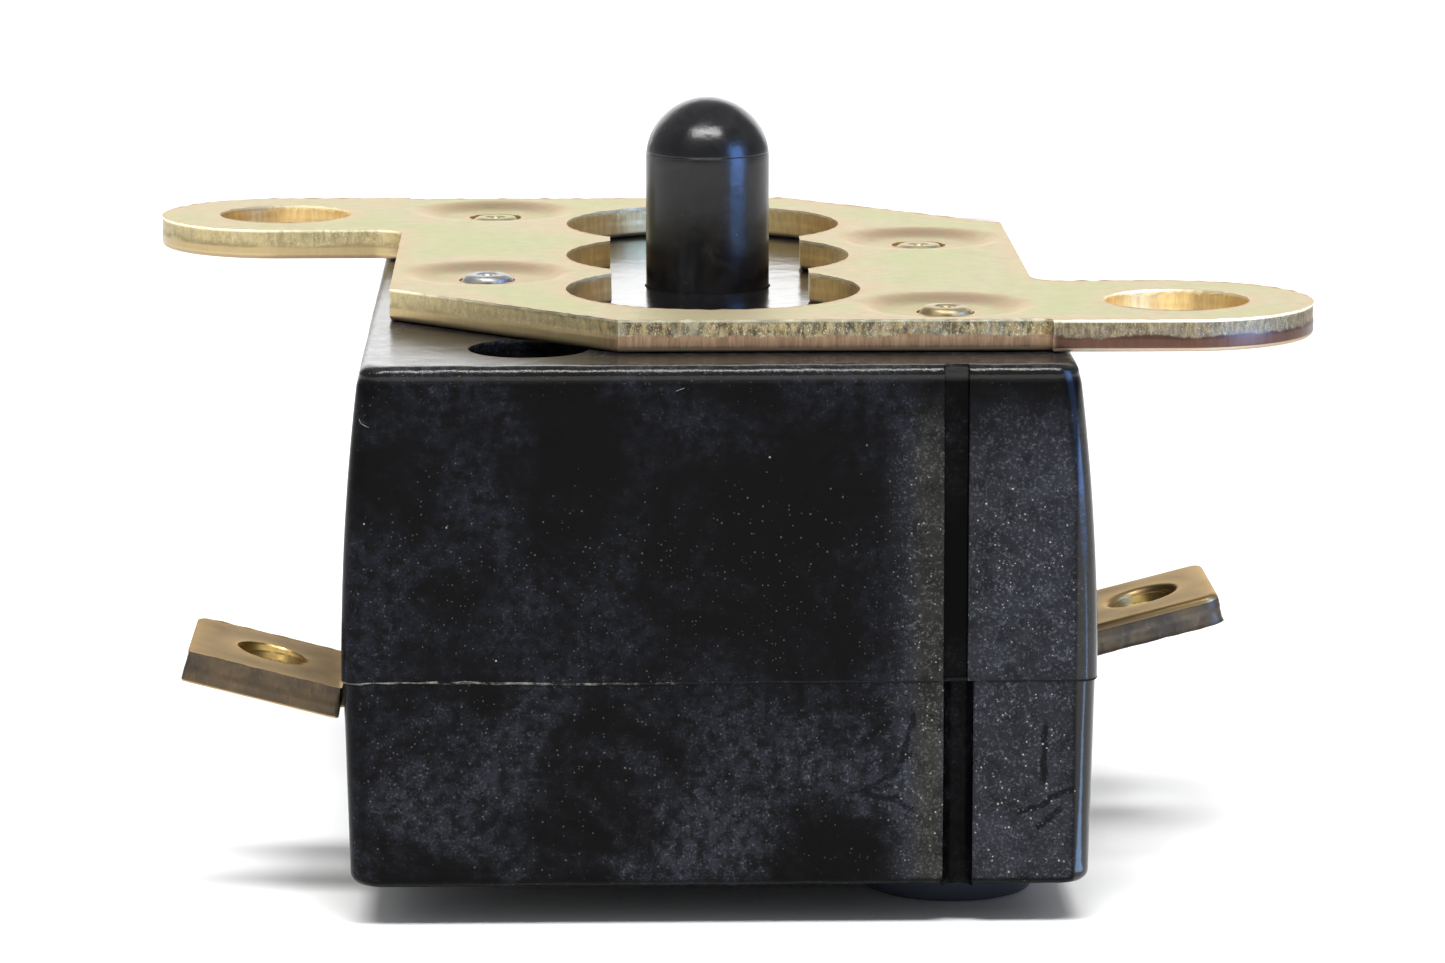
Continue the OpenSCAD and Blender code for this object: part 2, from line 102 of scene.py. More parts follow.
class Look:
    """A procedural material. Each method adds a node and gives back its output."""

    def __init__(self, name, metallic=0.0, specular=0.5):
        self.material = bpy.data.materials.new(name)
        self.material.use_nodes = True
        self.tree = self.material.node_tree
        self.shader = self.tree.nodes["Principled BSDF"]
        self.shader.inputs["Metallic"].default_value = metallic
        self.shader.inputs["Specular IOR Level"].default_value = specular
        place = self.add("ShaderNodeTexCoord").outputs["Object"]
        self.at = self.vector("SCALE", place, scale=1 / MM)
        self.x, self.y, self.z = self.add("ShaderNodeSeparateXYZ", self.at).outputs

    def add(self, kind, *values, **settings):
        node = self.tree.nodes.new(kind)
        for key, value in settings.items():
            setattr(node, key, value)
        for socket, value in zip(node.inputs, values):
            self.put(socket, value)
        return node

    def put(self, socket, value):
        if isinstance(value, bpy.types.NodeSocket):
            self.tree.links.new(value, socket)
        elif value is not None:
            if socket.type == "RGBA" and len(value) == 3:
                value = (*value, 1)
            socket.default_value = value

    def vector(self, operation, a, b=None, scale=None):
        node = self.add("ShaderNodeVectorMath", a, b, operation=operation)
        self.put(node.inputs[3], scale)
        return node.outputs[0]

    def maths(self, operation, a, b=None, clamp=False):
        return self.add("ShaderNodeMath", a, b, operation=operation, use_clamp=clamp).outputs[0]

    def times(self, product, *others):
        """The product of two values or more."""
        for value in others:
            product = self.maths("MULTIPLY", product, value)
        return product

    def inverse(self, value):
        """1 where the value is 0, and 0 where it is 1."""
        return self.maths("SUBTRACT", 1.0, value)

    def stretched(self, x, y, z):
        """The place with each axis scaled, so that a pattern runs along the small ones."""
        return self.vector("MULTIPLY", self.at, (x, y, z))

    def noise(self, scale, detail=4.0, rough=0.55, at=None, warp=0.0):
        node = self.add("ShaderNodeTexNoise")
        for key, value in (("Vector", at or self.at), ("Scale", scale), ("Detail", detail),
                           ("Roughness", rough), ("Distortion", warp)):
            self.put(node.inputs[key], value)
        return node.outputs["Fac"]

    def specks(self, scale, size, share):
        """Small soft dots in a share of the cells of a random pattern."""
        node = self.add("ShaderNodeTexVoronoi")
        self.put(node.inputs["Vector"], self.at)
        self.put(node.inputs["Scale"], scale)
        pick = self.add("ShaderNodeSeparateColor", node.outputs["Color"]).outputs
        chosen = self.maths("LESS_THAN", pick[0], share)
        dot = self.maths("SUBTRACT", self.times(pick[1], size), node.outputs["Distance"])
        return self.times(self.step(dot, 0.0, size * 0.4), chosen)

    def step(self, value, low, high):
        """A smooth rise from 0 at low to 1 at high."""
        node = self.add("ShaderNodeMapRange", value, low, high, 0.0, 1.0, interpolation_type="SMOOTHSTEP")
        return node.outputs[0]

    def band(self, value, low, high, soft):
        """1 between low and high, with soft ends."""
        return self.times(self.step(value, low - soft, low + soft),
                          self.inverse(self.step(value, high - soft, high + soft)))

    def mix(self, factor, a, b):
        node = self.add("ShaderNodeMix", data_type="RGBA", clamp_factor=True)
        for index, value in ((0, factor), (6, a), (7, b)):
            self.put(node.inputs[index], value)
        return node.outputs[2]

    def blend(self, factor, a, b):
        """A number between a and b."""
        return self.add("ShaderNodeMix", factor, None, a, b, data_type="FLOAT").outputs[0]

    def attribute(self, name):
        return self.add("ShaderNodeAttribute", attribute_name=name).outputs["Fac"]

    def bump(self, height, depth, under=None):
        """Relief of a depth in millimetres, on top of any other relief."""
        node = self.add("ShaderNodeBump")
        for key, value in (("Height", height), ("Distance", depth * MM), ("Strength", 1.0),
                           ("Normal", under)):
            self.put(node.inputs[key], value)
        return node.outputs[0]

    def finish(self, colour, rough, normal=None):
        self.put(self.shader.inputs["Base Color"], colour)
        self.put(self.shader.inputs["Roughness"], rough)
        self.put(self.shader.inputs["Normal"], normal)
        return self.material


# Rubbed marks on the front face, each a chain of straight strokes in X and Z
RUB_MARKS = [[(6.7, -22.27), (8.6, -21.1)], [(8.5, -20.8), (9.3, -20.3)], [(8.75, -20.6), (9.25, -18.2)],
             [(6.7, -22.27), (8.4, -22.6), (9.25, -23.15)], [(6.75, -19.75), (8.1, -18.75)],
             [(14.25, -23.2), (15.2, -23.05), (16.2, -22.3), (17.1, -22.1)],
             [(15.45, -21.9), (15.55, -18.9)], [(15.1, -24.1), (16.4, -22.95)]]


def rub_marks(look, width=0.21, wander=0.5):
    """1 along each rubbed mark, which strays a little from its straight strokes."""
    strokes = []
    at_x = look.maths("ADD", look.x, look.times(look.noise(1.3, 3), wander))
    at_z = look.maths("ADD", look.z, look.times(look.noise(1.7, 3), wander))
    for (x0, z0), (x1, z1) in [stroke for mark in RUB_MARKS for stroke in zip(mark, mark[1:])]:
        length = math.hypot(x1 - x0, z1 - z0)
        ux, uz = (x1 - x0) / length, (z1 - z0) / length
        dx = look.maths("SUBTRACT", at_x, x0 + wander / 2)
        dz = look.maths("SUBTRACT", at_z, z0 + wander / 2)
        along = look.maths("ADD", look.times(dx, ux), look.times(dz, uz))
        across = look.maths("SUBTRACT", look.times(dx, uz), look.times(dz, ux))
        near = look.inverse(look.step(look.maths("ABSOLUTE", across), width * 0.4, width))
        strokes.append(look.times(look.band(along, 0.0, length, 0.15), near))
    total = strokes[0]
    for stroke in strokes[1:]:
        total = look.maths("MAXIMUM", total, stroke)
    return total


def black_moulding():
    """Dark phenolic: a blue-black body under a gritty grey film with dust specks and rubbed marks."""
    look = Look("black_moulding")
    cloud = look.noise(0.16, 5, 0.6, warp=0.4)
    mottle = look.noise(0.9, 6, 0.6)
    grain = look.noise(7.0, 4, 0.75)
    cluster = look.noise(2.6, 4, 0.65)
    patch = look.step(look.noise(1.7, 5, 0.6), 0.36, 0.62)

    # Masks for the front's flat, right and low parts, and for the groove
    flat = look.times(look.step(look.y, 0.18 - CASE_HD, 0.08 - CASE_HD),
                      look.inverse(look.step(look.maths("ABSOLUTE", look.x), CASE_HW - 1.38, CASE_HW - 0.98)))
    right = look.times(look.step(look.x, 7.4, 9.8), flat)
    low = look.times(look.step(look.z, -15.5, -24.0), flat)
    groove = look.times(look.band(look.x, UPPER_GROOVE_X - 0.67, LOWER_GROOVE_X + 0.78, 0.06),
                        look.step(look.y, 0.16 - CASE_HD, 0.26 - CASE_HD),
                        look.step(look.y, 1.26 - CASE_HD, 1.06 - CASE_HD))

    # The body, and the film with its marks
    haze = look.times(look.step(cloud, 0.40, 0.66), look.blend(low, 0.20, 0.66), look.blend(patch, 0.25, 1.0))
    smear = look.times(right, look.blend(look.step(mottle, 0.25, 0.65), 0.28, 0.78))
    marks = look.times(rub_marks(look), look.blend(mottle, 0.7, 1.0))
    film = look.times(look.maths("ADD", smear, haze, clamp=True), look.inverse(look.times(marks, 0.9)))
    grit = look.times(look.step(grain, 0.50, 0.66), look.step(cluster, 0.34, 0.62))
    weight = look.maths("MULTIPLY", film, look.maths("ADD", look.times(grit, 2.0), 0.34), clamp=True)
    blue = look.mix(look.times(look.step(cloud, 0.4, 0.65), patch), (0.0026, 0.0026, 0.0030),
                    (0.0050, 0.0060, 0.0095))
    # Painted shade: inside the groove the body is painted near black, and its dust and shine are kept low
    body = look.mix(groove, blue, (0.0012, 0.0012, 0.0013))
    # The film's grey is tinted blue, a painted cast of the blue light at the right front, which lights no
    # diffuse surface; a strip just left of the groove is warm instead
    warm = look.band(look.x, 9.3, 10.7, 0.3)
    colour = look.mix(weight, body, look.mix(warm, (0.064, 0.068, 0.082), (0.070, 0.069, 0.061)))

    # Dust, fine at the right and coarse everywhere, kept out of the groove to hold its painted shade
    fine = look.times(look.specks(5.0, 0.30, 0.5), look.blend(right, 0.12, 0.62))
    coarse = look.times(look.specks(1.3, 0.085, 0.14), 0.7)
    dust = look.times(look.maths("MAXIMUM", fine, coarse),
                      look.maths("ADD", look.step(cluster, 0.42, 0.62), 0.12), look.inverse(groove))
    colour = look.mix(dust, colour, (0.48, 0.46, 0.41))

    # The top, brighter where the plate's opening shows it, and the bosses, painted lighter and blue as a
    # painted highlight
    top = look.step(look.z, CASE_TOP - 0.9, CASE_TOP - 0.5)
    open_x, open_y = LOBE_R + 0.2, LOBE_PITCH + LOBE_R + 0.2
    opening = look.times(look.band(look.x, -open_x, open_x, 0.2), look.band(look.y, -open_y, open_y, 0.2),
                         look.step(look.z, CASE_TOP - 0.2, CASE_TOP - 0.1))
    ledge = look.maths("SUBTRACT", look.step(look.z, CASE_TOP - 0.25, CASE_TOP - 0.10), opening, clamp=True)
    ledge = look.times(ledge, look.step(cluster, 0.40, 0.70))
    colour = look.mix(look.times(ledge, 0.30), colour, (0.075, 0.066, 0.055))
    # Painted highlight: the bosses under the case are painted a lighter blue-grey
    boss = look.step(look.z, CASE_BOTTOM, CASE_BOTTOM - 0.1)
    colour = look.mix(boss, colour, (0.050, 0.060, 0.080))

    # Gloss: the opening and the right front edge are polished
    polished = look.times(look.step(look.x, CASE_HW - 1.18, CASE_HW - 0.98),
                          look.step(look.y, 1.46 - CASE_HD, 1.16 - CASE_HD))
    rough = look.blend(look.maths("ADD", weight, dust, clamp=True), 0.17, 0.60)
    rough = look.maths("ADD", rough, look.times(mottle, 0.08))
    rough = look.blend(polished, look.blend(opening, rough, 0.14), 0.15)
    shine = look.blend(opening, look.blend(top, look.blend(groove, 0.045, 0.030), 0.34), 0.50)
    shine = look.blend(boss, look.blend(polished, shine, 0.36), 0.50)
    look.put(look.shader.inputs["Specular IOR Level"], shine)
    # In the opening the reflection is tinted warm, a painted reflection of the plate's colour
    look.put(look.shader.inputs["Specular Tint"], look.mix(opening, (1.0, 0.97, 0.92), (1.0, 0.90, 0.78)))

    relief = look.bump(look.noise(0.5, 3, 0.5), 0.04)
    crest = look.band(look.z, CASE_TOP - 0.55, CASE_TOP - 0.05, 0.12)
    relief = look.bump(look.times(look.noise(1.4, 5, 0.65), crest), 0.05, relief)
    relief = look.bump(look.maths("ADD", look.times(grain, 0.4), dust), 0.006, relief)
    return look.finish(colour, rough, relief)


def black_plunger():
    """Polished black rod with faint drag lines, handling marks and a little dust."""
    look = Look("black_plunger", specular=0.40)
    streak = look.noise(2.2, 4, 0.6, look.stretched(1, 1, 0.12))
    smudge = look.noise(0.55, 5, 0.6, warp=0.6)
    dust = look.times(look.specks(2.2, 0.16, 0.16), look.step(smudge, 0.40, 0.62))
    colour = look.mix(look.step(smudge, 0.35, 0.75), (0.004, 0.004, 0.005), (0.015, 0.015, 0.016))
    colour = look.mix(look.times(dust, 0.35), colour, (0.40, 0.39, 0.37))
    rough = look.maths("ADD", look.blend(smudge, 0.16, 0.32), look.times(dust, 0.3))
    relief = look.bump(streak, 0.006)
    relief = look.bump(look.noise(0.7, 3), 0.02, relief)
    dome = look.step(look.z, PLUNGER[1].z - 2.9, PLUNGER[1].z - 2.2)
    relief = look.bump(look.times(look.noise(3.2, 4, 0.6), dome), 0.012, relief)
    return look.finish(colour, rough, relief)


def plated_face():
    """Yellow-chromate plating: beige with greenish clouds, pink where the sheet was worked."""
    look = Look("plated_face", metallic=0.75)
    look.shader.inputs["Specular Tint"].default_value = (1.0, 0.96, 0.78, 1)
    cloud = look.noise(0.14, 4, 0.55, warp=0.5)
    fleck = look.noise(1.3, 5, 0.6)
    worked = look.times(look.attribute("tint"), look.step(fleck, 0.25, 0.55))
    colour = look.mix(look.step(cloud, 0.42, 0.62), (0.350, 0.315, 0.200), (0.310, 0.325, 0.165))
    pink = look.maths("MAXIMUM", worked, look.times(look.step(cloud, 0.50, 0.36), 0.45))
    colour = look.mix(look.times(pink, 0.8), colour, (0.44, 0.285, 0.19))
    stain = look.times(look.step(look.noise(0.4, 6, 0.65, warp=0.8), 0.55, 0.8), 0.35)
    colour = look.mix(stain, colour, (0.21, 0.17, 0.10))
    pit = look.specks(2.0, 0.10, 0.10)
    colour = look.mix(look.times(pit, 0.5), colour, (0.15, 0.12, 0.07))
    rough = look.blend(fleck, 0.38, 0.56)
    relief = look.bump(look.noise(2.2, 5, 0.6), 0.012)
    relief = look.bump(look.noise(14.0, 2, 0.5), 0.003, relief)
    return look.finish(colour, rough, relief)


def sheared(name, torn, torn_dark, smooth, smooth_dark, split, tones=False):
    """The plate's sheared edge: torn grains above the split height, sparkling with bright flecks that are
    painted glints, and a rubbed, streaky band below.

    With tones, the left chamfer's edge is yellower and the right ear's edge is browner.
    """
    look = Look(name, metallic=0.8)
    wander = look.maths("SUBTRACT", look.noise(0.45, 5, 0.7, look.stretched(1, 1, 0.05)), 0.5)
    up = look.step(look.maths("SUBTRACT", look.z, look.times(wander, 0.8)), split - 0.07, split + 0.07)
    streak = look.noise(4.0, 5, 0.65, look.stretched(1, 1, 0.12))
    grain = look.noise(3.6, 5, 0.7, look.stretched(1, 1, 0.45))
    fleck = look.noise(12.0, 3, 0.7, look.stretched(1, 1, 0.7))
    patch = look.noise(0.35, 3, 0.5)
    rough_part = look.mix(look.step(grain, 0.36, 0.66), torn_dark, torn)
    # Bright flecks in the torn part: painted glints
    rough_part = look.mix(look.times(look.step(fleck, 0.56, 0.68), 0.8), rough_part, (1.0, 0.90, 0.60))
    rough_part = look.mix(look.times(look.step(patch, 0.50, 0.66), 0.4), rough_part, (0.30, 0.28, 0.21))
    smooth_part = look.mix(look.step(streak, 0.34, 0.68), smooth_dark, smooth)
    if tones:
        chamfer = look.step(look.x, 0.6 - CHAMFER_X, -1.7 - CHAMFER_X)
        yellow = look.mix(streak, (0.42, 0.31, 0.16), (0.55, 0.43, 0.22))
        smooth_part = look.mix(chamfer, smooth_part, yellow)
        rough_part = look.mix(look.times(chamfer, 0.6), rough_part, (0.60, 0.50, 0.27))
        ear = look.step(look.x, PLATE_HW - 0.15, PLATE_HW + 0.25)
        brown = look.mix(streak, (0.075, 0.032, 0.022), (0.14, 0.075, 0.048))
        smooth_part = look.mix(ear, smooth_part, brown)
        rough_part = look.mix(look.times(ear, 0.6), rough_part, (0.13, 0.095, 0.06))
    colour = look.mix(up, smooth_part, rough_part)
    # Painted highlight: the top rim of the wall, along the burr, is painted near white
    colour = look.mix(look.step(look.z, -0.16, -0.04), colour, (1.0, 0.94, 0.66))
    lower_rim = look.times(look.step(look.z, 0.16 - PLATE_T, 0.06 - PLATE_T), 0.35)
    colour = look.mix(lower_rim, colour, (0.62, 0.50, 0.24))
    rough = look.blend(up, look.blend(streak, 0.25, 0.45), look.blend(grain, 0.26, 0.62))
    relief = look.bump(look.blend(up, 0.5, grain), 0.06)
    relief = look.bump(streak, 0.010, relief)
    return look.finish(colour, rough, relief)


def brass_face():
    """Old brass strip: an even tan with brown clouds and a few dark spots."""
    look = Look("brass_face", metallic=0.92)
    look.shader.inputs["Specular Tint"].default_value = (0.78, 0.68, 0.53, 1)
    cloud = look.noise(0.35, 5, 0.6, warp=0.6)
    colour = look.mix(look.step(cloud, 0.35, 0.7), (0.180, 0.126, 0.068), (0.145, 0.098, 0.052))
    spots = look.times(look.step(look.noise(2.4, 6, 0.7), 0.66, 0.80), 0.35)
    colour = look.mix(spots, colour, (0.12, 0.080, 0.045))
    colour = look.mix(look.times(look.attribute("tint"), 0.5), colour, (0.62, 0.42, 0.18))
    rough = look.blend(cloud, 0.32, 0.50)
    relief = look.bump(look.noise(4.0, 4), 0.008)
    return look.finish(colour, rough, relief)


def brass_edge():
    """The strip's cut edge: dark brown with fine upright streaks and small gold scratches."""
    look = Look("brass_edge", metallic=0.8)
    cloud = look.noise(0.9, 4, 0.6)
    streak = look.noise(5.0, 5, 0.7, look.stretched(1, 1, 0.25))
    colour = look.mix(look.step(cloud, 0.3, 0.7), (0.105, 0.075, 0.043), (0.060, 0.047, 0.035))
    colour = look.mix(look.times(look.step(streak, 0.52, 0.72), 0.5), colour, (0.165, 0.12, 0.068))
    nick = look.times(look.specks(2.6, 0.20, 0.14), 0.8)
    colour = look.mix(nick, colour, (0.85, 0.62, 0.30))
    return look.finish(colour, look.blend(cloud, 0.34, 0.60), look.bump(streak, 0.012))


def plain_metal(name, light, dark, rough_low, rough_high, scale=1.2, metallic=1.0):
    """Metal hardware with clouded tarnish and fine scratches."""
    look = Look(name, metallic=metallic)
    cloud = look.noise(scale, 5, 0.6, warp=0.4)
    line = look.noise(scale * 6, 3, 0.6, look.stretched(1, 0.15, 1))
    colour = look.mix(look.step(cloud, 0.35, 0.7), light, dark)
    rough = look.blend(cloud, rough_low, rough_high)
    return look.finish(colour, rough, look.bump(line, 0.006))


def brown_moulding():
    """Filled brown phenolic for the carrier inside the case."""
    look = Look("brown_moulding", specular=0.4)
    fibre = look.noise(2.0, 6, 0.7, look.stretched(1, 0.3, 1))
    colour = look.mix(look.step(fibre, 0.35, 0.65), (0.22, 0.13, 0.06), (0.33, 0.21, 0.11))
    return look.finish(colour, look.blend(fibre, 0.35, 0.6), look.bump(fibre, 0.01))


def seam_flash():
    """The thin ragged flash along the seam, rubbed grey, most of all at the left."""
    look = Look("seam_flash", specular=0.06)
    fade = look.blend(look.step(look.x, -12.0, 6.0), 0.0, 0.20)
    wear = look.maths("SUBTRACT", look.noise(1.6, 6, 0.75), fade)
    grey = look.mix(look.step(look.x, 2.0, -8.0), (0.125, 0.120, 0.105), (0.19, 0.18, 0.155))
    colour = look.mix(look.step(wear, 0.36, 0.62), (0.008, 0.008, 0.009), grey)
    return look.finish(colour, look.blend(wear, 0.6, 0.9), look.bump(look.noise(6.0, 4), 0.03))


BLACK = black_moulding()
FACE = plated_face()
EDGE = sheared("sheared_edge", (0.56, 0.43, 0.20), (0.11, 0.085, 0.045), (0.50, 0.33, 0.195),
               (0.30, 0.19, 0.115), -0.80, tones=True)
# The holes' walls are painted bright gold: partly their plated colour, partly a painted highlight and
# reflection
BORE = sheared("sheared_bore", (0.95, 0.74, 0.34), (0.70, 0.50, 0.22), (0.88, 0.64, 0.28),
               (0.72, 0.51, 0.23), -0.22)
BRASS = brass_face()
BRASS_EDGE = brass_edge()
BRASS_BORE = plain_metal("brass_bore", (0.62, 0.42, 0.14), (0.16, 0.105, 0.045), 0.20, 0.42, 0.5, 0.9)
GOLD_ZINC = plain_metal("gold_zinc", (0.52, 0.41, 0.22), (0.30, 0.235, 0.135), 0.40, 0.60)
GREY_ZINC = plain_metal("grey_zinc", (0.44, 0.435, 0.41), (0.26, 0.255, 0.24), 0.40, 0.60)
SPRING = plain_metal("spring_wire", (0.50, 0.50, 0.51), (0.28, 0.27, 0.27), 0.18, 0.38)


# -------- mesh helpers

def mesh_of(name, verts, faces):
    mesh = bpy.data.meshes.new(name)
    mesh.from_pydata([tuple(c * MM for c in v) for v in verts], [], faces)
    return mesh


def place_new(name, data):
    """A new object in the scene."""
    obj = bpy.data.objects.new(name, data)
    SCENE.collection.objects.link(obj)
    return obj


def make(name, verts, faces, materials, body, slot, replaces=(), sharp=38, indices=None):
    """A smooth-shaded mesh piece with its steep edges kept sharp, riding on a body."""
    mesh = mesh_of(name, verts, faces)
    obj = place_new(name, mesh)
    for material in materials:
        mesh.materials.append(material)
    if indices is not None:
        mesh.polygons.foreach_set("material_index", indices)
    sharpen(mesh, sharp)
    adopt(obj, body, slot, replaces)
    return obj


def sharpen(mesh, angle):
    """Marks the edges that turn by more than the angle, and shades the rest smooth."""
    bm = bmesh.new()
    bm.from_mesh(mesh)
    for edge in bm.edges:
        edge.smooth = edge.calc_face_angle(0.0) < math.radians(angle)
    for face in bm.faces:
        face.smooth = True
    bm.to_mesh(mesh)
    bm.free()


def adopt(obj, body, slot, replaces=()):
    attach(obj, body)
    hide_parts(*replaces)


def bumpy(x, y, z, scale, seed=0.0):
    """Smooth noise from -1 to 1 at a place."""
    return noise.noise(Vector((x * scale + seed, y * scale - seed, z * scale + 0.37 * seed)))


def run(p, q, count):
    """Evenly spaced points from p towards q, without q."""
    return [(p[0] + (q[0] - p[0]) * i / count, p[1] + (q[1] - p[1]) * i / count) for i in range(count)]


def line(p, q, step):
    return run(p, q, max(1, round(math.dist(p, q) / step)))


def arc(centre, r, start, end, step):
    """Points along an arc, in degrees, without its end."""
    count = max(3, round(abs(math.radians(end - start)) * r / step))
    angles = [math.radians(start + (end - start) * i / count) for i in range(count)]
    return [(centre[0] + r * math.cos(a), centre[1] + r * math.sin(a)) for a in angles]


def loft(rings, count, closed=False):
    """Faces from each ring of points to the next, with caps at the ends unless the last joins the first."""
    faces = []
    for k in range(rings if closed else rings - 1):
        low, high = k * count, (k + 1) % rings * count
        for i in range(count):
            j = (i + 1) % count
            faces.append((low + i, low + j, high + j, high + i))
    if not closed:
        faces += [tuple(reversed(range(count))), tuple(range((rings - 1) * count, rings * count))]
    return faces


def lathe(profile, segments, centre=(0, 0), wobble=None, ring=False):
    """A turned solid from (radius, height) points: bottom to top, or all round the section of a ring.

    wobble(angle, r, z) adds to the radius.
    """
    verts = []
    for r, z in profile:
        for i in range(segments):
            a = 2 * math.pi * i / segments
            radius = r + (wobble(a, r, z) if wobble else 0)
            verts.append((centre[0] + radius * math.cos(a), centre[1] + radius * math.sin(a), z))
    return verts, loft(len(profile), segments, ring)


def solid_box(low, high):
    (x0, y0, z0), (x1, y1, z1) = low, high
    verts = [(x, y, z) for z in (z0, z1) for x, y in ((x0, y0), (x1, y0), (x1, y1), (x0, y1))]
    faces = [(3, 2, 1, 0), (4, 5, 6, 7), (0, 1, 5, 4), (1, 2, 6, 5), (2, 3, 7, 6), (3, 0, 4, 7)]
    return verts, faces


def solid_rod(centre, r, z0, z1, segments=48):
    return lathe([(r, z0), (r, z1)], segments, centre)


def carve(obj, solids, joined=()):
    """Joins some solids to a piece and then takes others away from it."""
    tools = []
    for operation, group in (("UNION", joined), ("DIFFERENCE", solids)):
        for verts, faces in group:
            tools.append(place_new("tool", mesh_of("tool", verts, faces)))
            cut = obj.modifiers.new("cut", "BOOLEAN")
            cut.operation, cut.object, cut.solver = operation, tools[-1], "MANIFOLD"
    done = bpy.data.meshes.new_from_object(obj.evaluated_get(bpy.context.evaluated_depsgraph_get()))
    obj.modifiers.clear()
    obj.data = done
    for tool in tools:
        bpy.data.objects.remove(tool)
    sharpen(done, 32)


# -------- stamped sheet

# Rings of points that follow a sheet's edges, in distance from them, and the rims that shearing leaves
RINGS = (0.05, 0.12, 0.22, 0.40)
BURR, BURR_REACH = 0.035, 0.09
THREAD_PITCH, THREAD_DEPTH = 0.79, 0.17
GRID = 0.5


def inward(loop):
    """The direction at each of a loop's points, square to it and to the left of its way round."""
    normals = []
    for a, b in zip(loop[-1:] + loop, loop[1:] + loop[:1]):
        dx, dy = b[0] - a[0], b[1] - a[1]
        size = math.hypot(dx, dy) or 1
        normals.append((-dy / size, dx / size))
    return normals


def sheet(loops):
    """A flat triangle mesh inside the loops: its points, its triangles, where each loop point went, a tree
    of the loop points, their inward directions, and each loop's first point and count."""
    points, edges, normals, spans = [], [], [], []
    for loop in loops:
        first, count = len(points), len(loop)
        spans.append((first, count))
        normals += inward(loop)
        edges += [(first + i, first + (i + 1) % count) for i in range(count)]
        points += loop
    on_loops = points[:]
    for reach in RINGS:
        points += [(p[0] + n[0] * reach, p[1] + n[1] * reach) for p, n in zip(on_loops, normals)]
    tree = kdtree.KDTree(len(on_loops))
    for i, p in enumerate(on_loops):
        tree.insert((p[0], p[1], 0), i)
    tree.balance()
    xs, ys = [p[0] for p in loops[0]], [p[1] for p in loops[0]]
    row = 0
    y = min(ys)
    while y < max(ys):
        x = min(xs) + (GRID / 2 if row % 2 else 0)
        while x < max(xs):
            if tree.find((x, y, 0))[2] > RINGS[-1] + GRID * 0.4:
                points.append((x, y))
            x += GRID
        y += GRID * 0.866
        row += 1
    out, _, tris, origins, _, _ = delaunay_2d_cdt([Vector(p) for p in points], edges, [], 0, 1e-5)
    where = {source: index for index, sources in enumerate(origins) for source in sources}
    inside = [t for t in tris if within(loops, [sum(out[i][k] for i in t) / 3 for k in (0, 1)])]
    return out, inside, where, tree, normals, spans


def sheared_inset(s, worn, kind):
    """How far a wall stands in, s along it: ragged where it tore and nearly smooth past the split."""
    split = 0.55 + 0.10 * noise.noise(Vector((s * 0.45, 3.1, 0)))
    torn = 0.045 + 0.040 * noise.noise(Vector((s * 3.0, worn * 0.8, 1.7)))
    torn += 0.018 * noise.noise(Vector((s * 9.0, worn * 5.0, 5.2)))
    torn *= 1.0 if kind == "cut" else 0.3
    rubbed = 0.006 * noise.noise(Vector((s * 4.0, worn * 0.3, 9.1)))
    mixed = min(1.0, max(0.0, (worn - split) / 0.06))
    return torn * (1 - mixed) + rubbed * mixed


def unbent(x, y, z):
    return x, y, z


